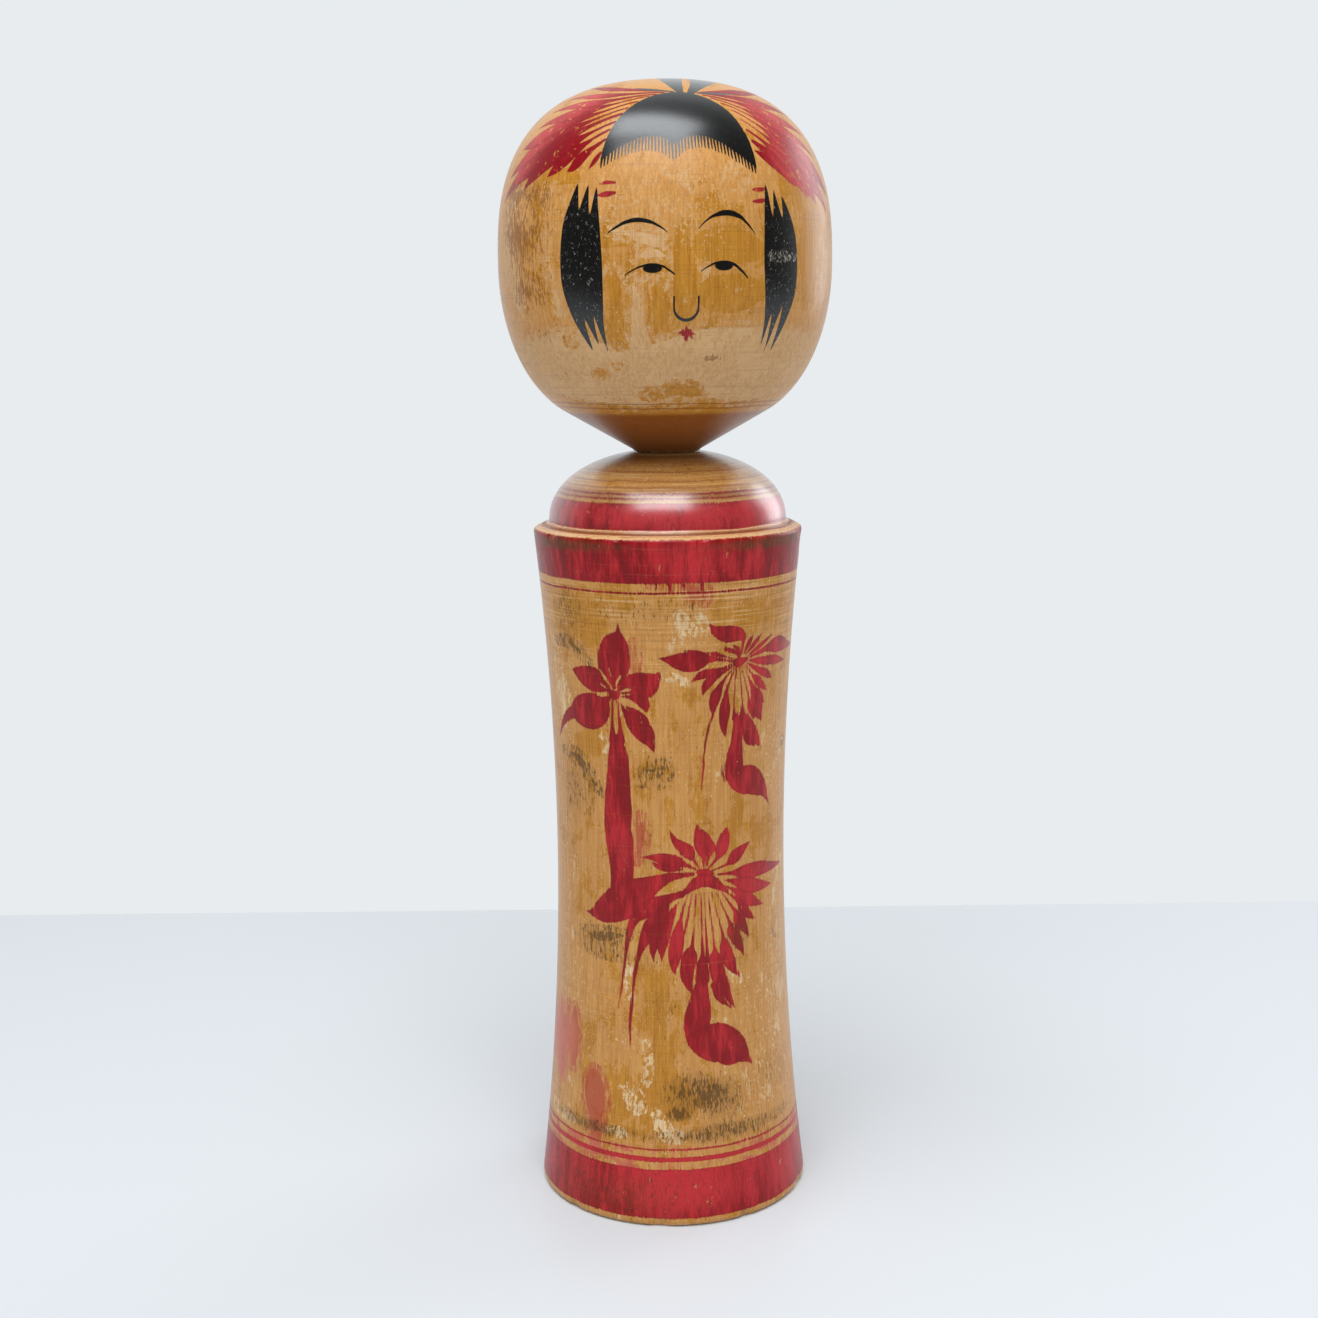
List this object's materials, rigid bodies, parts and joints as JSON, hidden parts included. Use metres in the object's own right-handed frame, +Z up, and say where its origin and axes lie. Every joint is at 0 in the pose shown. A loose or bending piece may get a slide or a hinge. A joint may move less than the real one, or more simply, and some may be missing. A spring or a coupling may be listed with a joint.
{
  "type": "kokeshi doll",
  "caption": "Tall turned wooden doll with a waisted cylindrical body, a domed shoulder and a round head that turns on its neck plug.",
  "frame": {"origin": "centre of the foot, on the surface that the doll stands on", "axes": "+Z up along the turning axis, the face looks along -Y, +X is to the right of someone who faces the doll"},
  "size_m": [0.0886, 0.0886, 0.3026],
  "materials": {
    "body_wood": "hand painted in red and black dye under worn wax, aged amber",
    "head_wood": "hand painted in red and black dye under worn wax, aged amber"
  },
  "bodies": {
    "body": {"body": "body_wood"},
    "head": {"head": "head_wood"}
  },
  "joints": [
    {"name": "head_turn", "type": "hinge", "parent": "body", "child": "head", "pos_m": [0, 0, 0.2066], "axis": [0, 0, 1], "continuous": true}
  ]
}
